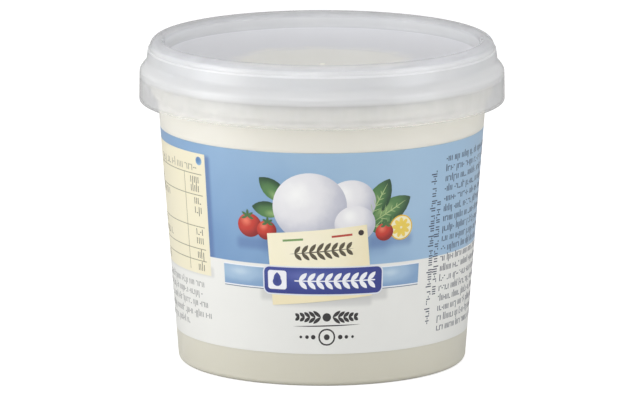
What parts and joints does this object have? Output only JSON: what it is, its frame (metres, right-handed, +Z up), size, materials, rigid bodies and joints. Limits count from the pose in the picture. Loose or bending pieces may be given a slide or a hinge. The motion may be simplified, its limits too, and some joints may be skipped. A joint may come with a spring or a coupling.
{
  "type": "lidded plastic tub of burrata",
  "caption": "Round tapered translucent tub with a snap lid and a printed sleeve, holding a burrata in milky whey.",
  "frame": {"origin": "centre of the tub's base, on the surface that it stands on", "axes": "+Z up along the tub's axis; the printed front faces -Y; +X to the right seen from the front"},
  "size_m": [0.097, 0.097, 0.0865],
  "materials": {
    "pot_plastic": "translucent natural polypropylene, satin",
    "lid_plastic": "translucent natural polypropylene, faintly frosted",
    "sleeve_print": "printed in-mould label, satin",
    "milky_whey": "cloudy cream-white liquid",
    "cheese_skin": "moist fresh cheese skin"
  },
  "bodies": {
    "root": {"pot": "pot_plastic", "lid": "lid_plastic", "sleeve": "sleeve_print", "whey": "milky_whey", "burrata": "cheese_skin"}
  },
  "joints": []
}
